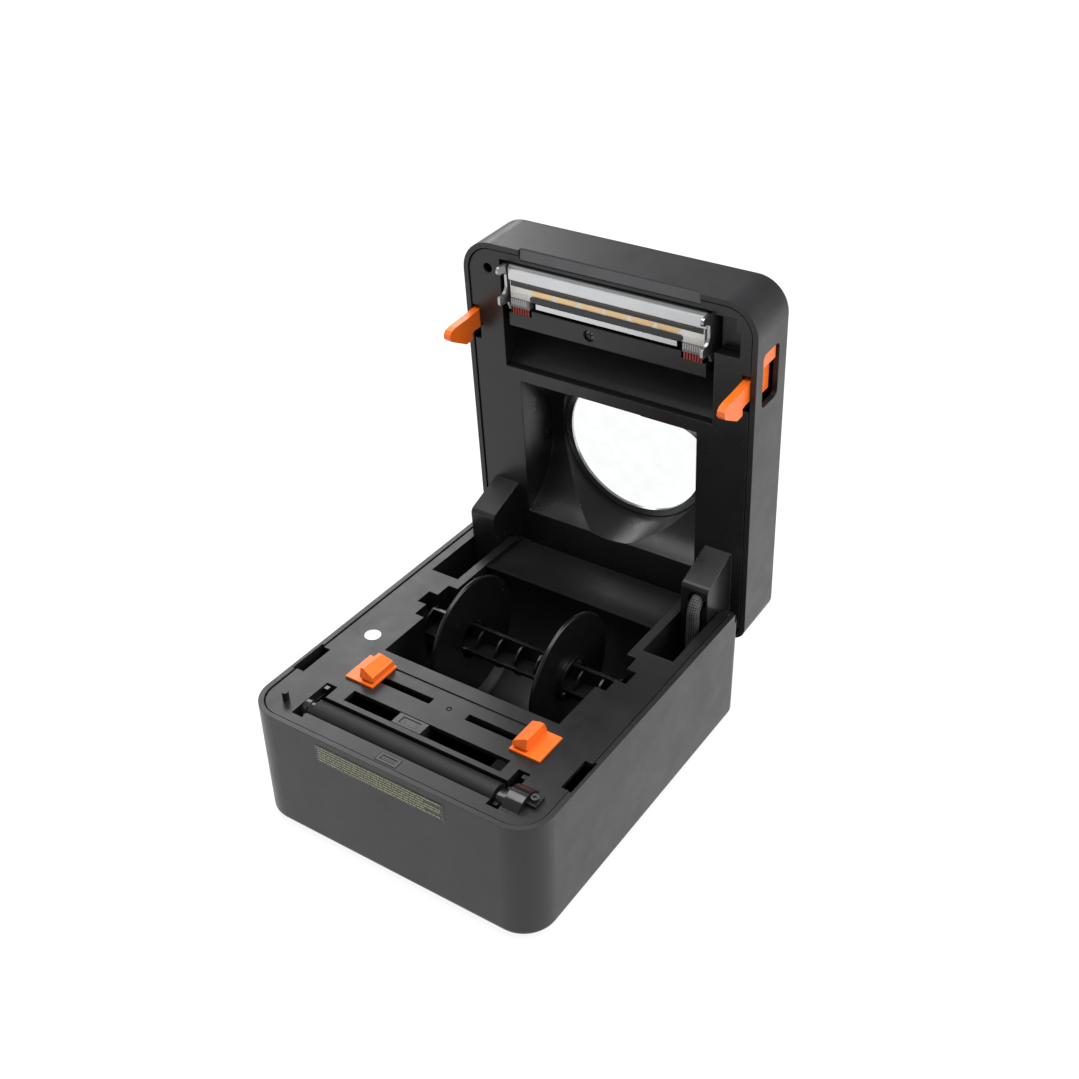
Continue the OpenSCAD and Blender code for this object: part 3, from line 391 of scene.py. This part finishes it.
SLEEVE_X, SLEEVE_Y, SLEEVE_FOOT = 72.2, 77.8, 34
SLEEVE_RISE, SLEEVE_BEND, SLEEVE_BACK = 46, 8.0, 17
STRANDS = 12                       # strands of the braid in each direction


def sleeve_path():
    """Middle line of the sleeve in millimetres: up out of the pocket, round, and back into the lid's arm."""
    x, y, bend, top = SLEEVE_X, SLEEVE_Y, SLEEVE_BEND, SLEEVE_FOOT + SLEEVE_RISE
    points = [Vector((x, y, SLEEVE_FOOT + SLEEVE_RISE * k / 28)) for k in range(29)]
    for k in range(1, 13):
        a = math.radians(90 * k / 12)
        points.append(Vector((x, y + bend - bend * math.cos(a), top + bend * math.sin(a))))
    points += [Vector((x, y + bend + SLEEVE_BACK * k / 8, top + bend)) for k in range(1, 9)]
    return [p + SHIFT / MM for p in points]


def braided_tube(path, radius, around=48, turns_per_mm=0.055):
    """Tube whose surface is woven from two sets of crossing strands."""
    bm = bmesh.new()
    uv = bm.loops.layers.uv.new("weave")
    fine_path = []
    for a, b in zip(path, path[1:]):
        for k in range(4):
            fine_path.append(a.lerp(b, k / 4))
    fine_path.append(path[-1])
    rings, lengths, total = [], [], 0.0
    for i, p in enumerate(fine_path):
        if i:
            total += (p - fine_path[i - 1]).length
        ahead = fine_path[min(i + 1, len(fine_path) - 1)] - fine_path[max(i - 1, 0)]
        t = ahead.normalized()
        side = Vector((1, 0, 0))
        up = t.cross(side).normalized()
        ring = []
        for k in range(around):
            a = 2 * math.pi * k / around
            u, v = STRANDS * k / around, total * turns_per_mm * STRANDS
            weave = math.sin(2 * math.pi * (u + v)) * math.sin(2 * math.pi * (u - v))
            r = radius - 0.22 + 0.2 * weave
            ring.append(bm.verts.new((p + (side * math.cos(a) + up * math.sin(a)) * r) * MM))
        rings.append(ring)
        lengths.append(total)
    for i in range(len(rings) - 1):
        for k in range(around):
            face = bm.faces.new((rings[i][k], rings[i][(k + 1) % around],
                                 rings[i + 1][(k + 1) % around], rings[i + 1][k]))
            face.smooth = True
            for loop, (u, v) in zip(face.loops, ((k, i), (k + 1, i), (k + 1, i + 1), (k, i + 1))):
                loop[uv].uv = (u / around, lengths[v] * turns_per_mm)
    for ring in (rings[0], rings[-1]):
        bm.faces.new(ring)
    return bm


def braid_material():
    mat, tree, shader = new_material("braided_sleeve")
    place = node(tree, "ShaderNodeUVMap", _uv_map="weave")
    mapping = node(tree, "ShaderNodeMapping")
    mapping.inputs["Rotation"].default_value = (0, 0, math.radians(45))
    mapping.inputs["Scale"].default_value = (24, 24, 1)
    tree.links.new(place.outputs[0], mapping.inputs[0])
    checks = node(tree, "ShaderNodeTexChecker", Scale=1.0)
    checks.inputs["Color1"].default_value = (0.14, 0.14, 0.14, 1)
    checks.inputs["Color2"].default_value = (0.010, 0.010, 0.011, 1)
    tree.links.new(mapping.outputs[0], checks.inputs["Vector"])
    fibres = noise(tree, mapping.outputs[0], 6.0, 4.0, 0.7)
    mixed = node(tree, "ShaderNodeMix", _data_type="RGBA", _blend_type="MULTIPLY")
    mixed.inputs[0].default_value = 1.0
    tree.links.new(checks.outputs["Color"], mixed.inputs[6])
    tree.links.new(ramp(tree, fibres, [(0.35, (0.35, 0.35, 0.35)), (0.65, (1, 1, 1))]), mixed.inputs[7])
    tree.links.new(mixed.outputs[2], shader.inputs["Base Color"])
    tree.links.new(bumped(tree, fibres, 0.6, 0.08 * MM), shader.inputs["Normal"])
    shader.inputs["Roughness"].default_value = 0.62
    return mat


sleeve = finish_piece("braided_sleeve", braided_tube(sleeve_path(), 3.7), braid_material(), None, True)
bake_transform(sleeve)
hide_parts("cable_sleeve")


# ------------------------------------------------------------------ stage, light and camera

def floor():
    """A pale floor that glows a little, so that it stays white without lighting the sides too much."""
    bm = bmesh.new()
    bmesh.ops.create_grid(bm, x_segments=8, y_segments=8, size=14.0)
    mat, tree, shader = new_material("pale_floor")
    cloud = noise(tree, object_place(tree), 2.0, 2.0)
    tree.links.new(ramp(tree, cloud, [(0.3, (0.13, 0.13, 0.13)), (0.7, (0.15, 0.15, 0.15))]),
                   shader.inputs["Base Color"])
    shader.inputs["Roughness"].default_value = 0.9
    shader.inputs["Specular IOR Level"].default_value = 0.1
    shader.inputs["Emission Color"].default_value = (1, 1, 1, 1)
    shader.inputs["Emission Strength"].default_value = 0.90
    piece = finish_piece("floor", bm, mat, None)


def soft_light(name, place, aim, size, power):
    """A rectangular area light, turned to face aim."""
    data = bpy.data.lights.new(name, "AREA")
    data.shape = "RECTANGLE"
    data.size, data.size_y = size
    data.energy = power
    lamp = bpy.data.objects.new(name, data)
    bpy.context.scene.collection.objects.link(lamp)
    lamp.location = place
    lamp.rotation_euler = (Vector(aim) - Vector(place)).to_track_quat("-Z", "Y").to_euler()


floor()
soft_light("overhead", (0.0, 0.0, 1.8), (0, 0, 0.1), (1.7, 1.3), 35)
soft_light("back_left", (-1.4, 1.15, 1.2), (0, 0, 0.12), (0.9, 1.0), 12)
soft_light("right_side", (1.8, 0.7, 1.0), (0.05, 0, 0.1), (1.2, 1.2), 24)
soft_light("left_front", (-1.6, -1.0, 0.9), (0, 0, 0.12), (0.6, 1.1), 4)

world = bpy.data.worlds.new("studio")
bpy.context.scene.world = world
world.use_nodes = True
world.node_tree.nodes["Background"].inputs[0].default_value = (1.0, 1.0, 1.0, 1)
world.node_tree.nodes["Background"].inputs[1].default_value = 0.30
bpy.context.scene.view_settings.view_transform = "Standard"
bpy.context.scene.view_settings.look = "None"

EYE = Vector((0.3494, -0.4721, 0.5418)) + SHIFT
AZIMUTH, ELEVATION, ROLL = 34.46, 33.9, -1.41
camera = bpy.data.cameras.new("camera")
camera.sensor_width = 36.0
camera.lens = 46.8
camera.clip_end = 60
eye = bpy.data.objects.new("camera", camera)
bpy.context.scene.collection.objects.link(eye)
turn, rise, roll = math.radians(AZIMUTH), math.radians(ELEVATION), math.radians(ROLL)
ahead = Vector((-math.sin(turn) * math.cos(rise), math.cos(turn) * math.cos(rise), -math.sin(rise)))
right = Vector((math.cos(turn), math.sin(turn), 0))
up = right.cross(ahead)
across = right * math.cos(roll) + up * math.sin(roll)
upward = up * math.cos(roll) - right * math.sin(roll)
facing = Matrix((across, upward, -ahead)).transposed().to_4x4()
eye.matrix_world = Matrix.Translation(EYE) @ facing
bpy.context.scene.camera = eye
